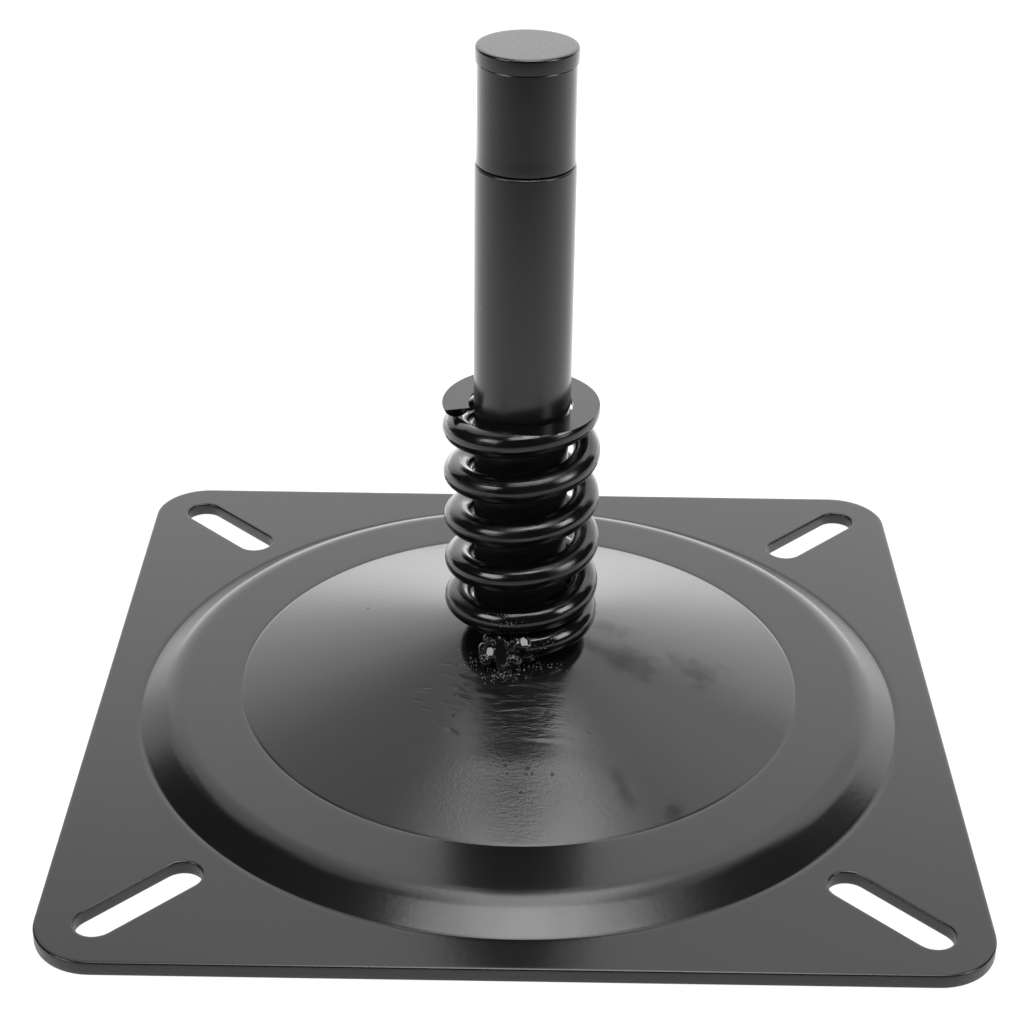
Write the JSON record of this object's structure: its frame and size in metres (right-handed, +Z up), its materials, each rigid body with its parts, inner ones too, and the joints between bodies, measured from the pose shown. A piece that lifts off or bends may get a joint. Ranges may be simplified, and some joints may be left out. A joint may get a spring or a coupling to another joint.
{
  "type": "swivel seat base",
  "caption": "Square seat mounting plate with a domed pressing, an upright swivel pin, a coil spring round its foot and a turning end bush.",
  "frame": {"origin": "middle of the plate's underside, where it rests", "axes": "+Z up along the pin, X and Y along the plate's sides, -Y the side of the spring's tack weld"},
  "size_m": [0.178, 0.178, 0.1461],
  "materials": {
    "plate_paint": "satin black powder coat",
    "pin_paint": "satin black powder coat",
    "spring_paint": "gloss black coat",
    "weld_paint": "gloss black coat over weld metal",
    "bush_plastic": "smooth black nylon"
  },
  "bodies": {
    "base": {"mounting_plate": "plate_paint", "pin_post": "pin_paint", "pin_weld": "weld_paint", "spring_tack_weld": "weld_paint"},
    "spring": {"coil_spring": "spring_paint"},
    "bush": {"end_bush": "bush_plastic"}
  },
  "joints": [
    {"name": "spring_compress", "type": "slide", "parent": "base", "child": "spring", "axis": [0, 0, -1], "range_m": [0, 0.018], "stiffness_N_per_m": 125000, "deforming": ["coil_spring"]},
    {"name": "bush_turn", "type": "hinge", "parent": "base", "child": "bush", "pos_m": [0, 0, 0.1235], "axis": [0, 0, 1], "continuous": true}
  ]
}
